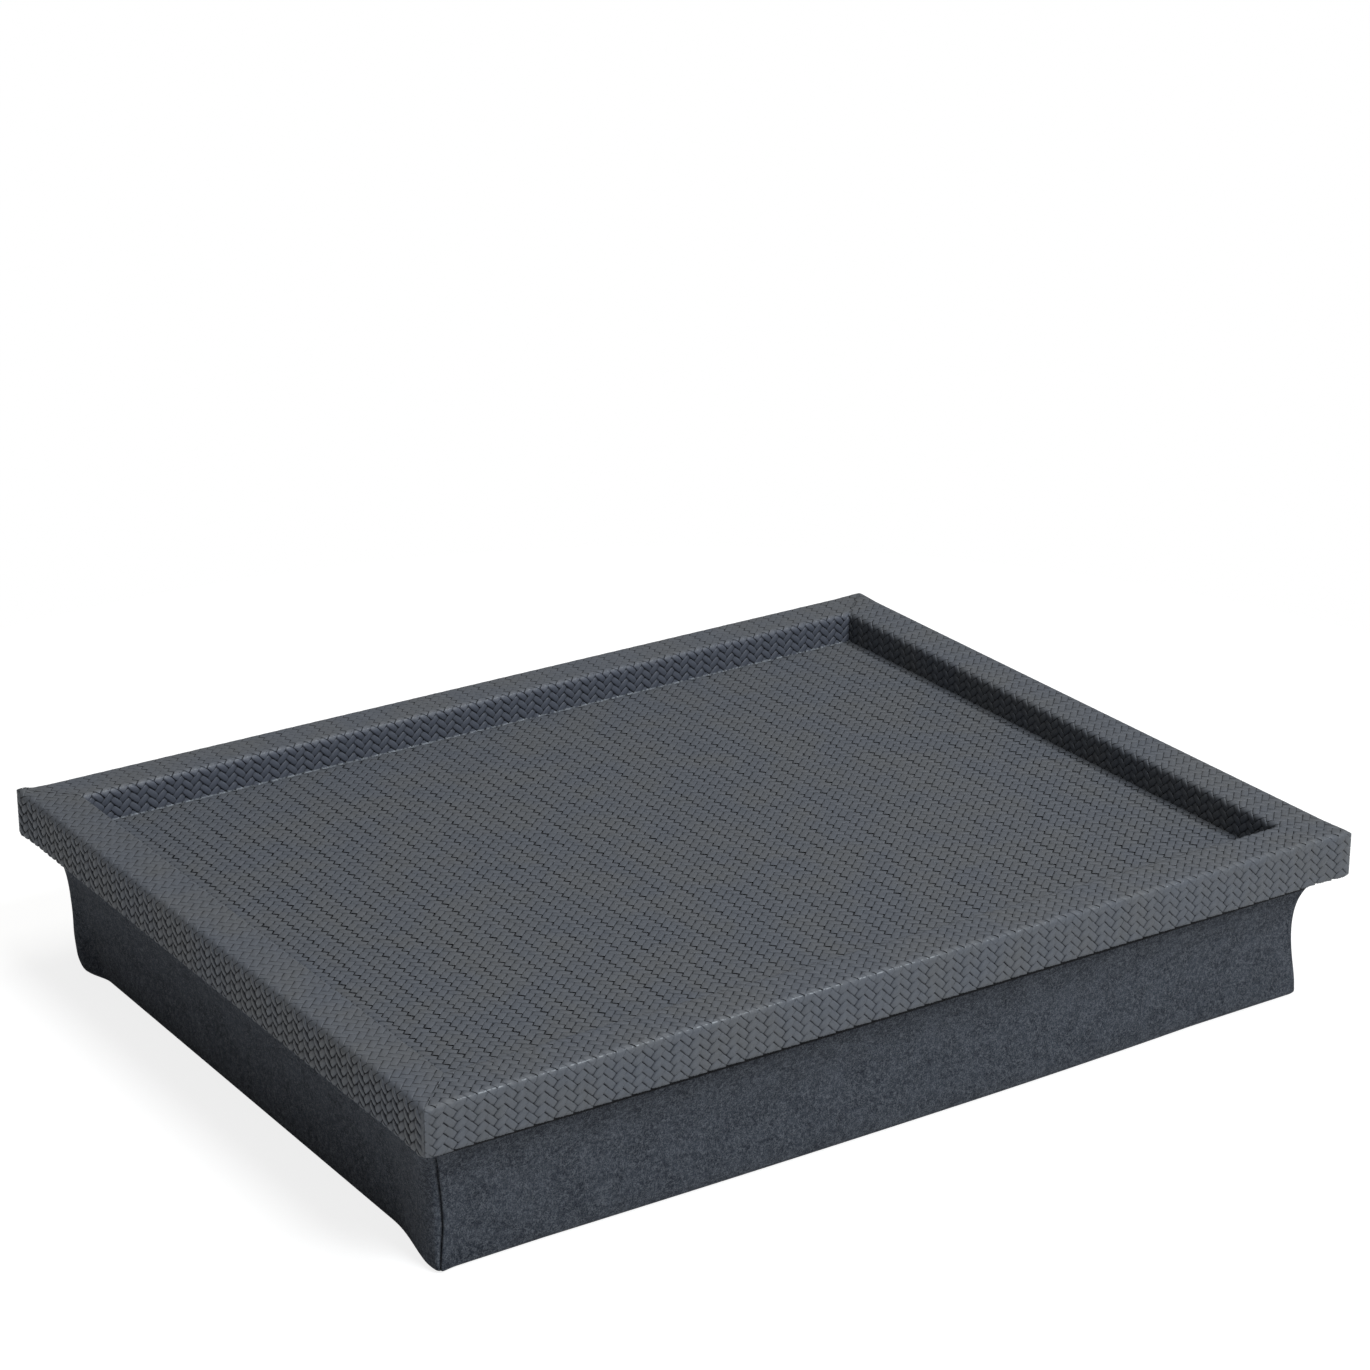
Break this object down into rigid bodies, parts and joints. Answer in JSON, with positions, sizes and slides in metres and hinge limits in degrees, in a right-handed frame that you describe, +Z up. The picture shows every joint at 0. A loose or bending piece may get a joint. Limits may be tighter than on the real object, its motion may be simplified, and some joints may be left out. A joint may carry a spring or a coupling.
{
  "type": "bed tray",
  "caption": "Rectangular woven-leather tray with a raised rim, standing on a bead-filled suede cushion that rests on a bed or lap.",
  "frame": {"origin": "on the surface that the cushion rests on, under the middle of the tray's outline", "axes": "+X along the tray's long side, to the right as seen from its front; +Y from the front to the back; +Z up"},
  "size_m": [0.46, 0.359, 0.079],
  "materials": {
    "woven_leather": "slate grey leather embossed with a diagonal twill weave, soft satin",
    "suede": "dark slate suede cloth, matt, with a mottled nap",
    "plywood": "bare birch plywood, hidden",
    "cotton": "plain undyed cotton, hidden",
    "foam_beads": "loose expanded polystyrene beads, hidden",
    "zinc_steel": "zinc plated, hidden"
  },
  "bodies": {
    "root": {"front_rail": "plywood", "right_rail": "plywood", "back_rail": "plywood", "left_rail": "plywood", "front_rail_leather": "woven_leather", "right_rail_leather": "woven_leather", "back_rail_leather": "woven_leather", "left_rail_leather": "woven_leather", "front_left_mitre_key": "plywood", "front_right_mitre_key": "plywood", "back_right_mitre_key": "plywood", "back_left_mitre_key": "plywood", "tray_board": "plywood", "floor_leather": "woven_leather", "cushion_board": "plywood", "board_screw_1": "zinc_steel", "board_screw_2": "zinc_steel", "board_screw_3": "zinc_steel", "board_screw_4": "zinc_steel", "board_screw_5": "zinc_steel", "board_screw_6": "zinc_steel", "board_screw_7": "zinc_steel", "board_screw_8": "zinc_steel", "front_suede_panel": "suede", "right_suede_panel": "suede", "back_suede_panel": "suede", "left_suede_panel": "suede", "bottom_suede_panel": "suede", "liner_tub": "cotton", "liner_lid": "cotton", "bead_filling": "foam_beads"}
  },
  "joints": []
}
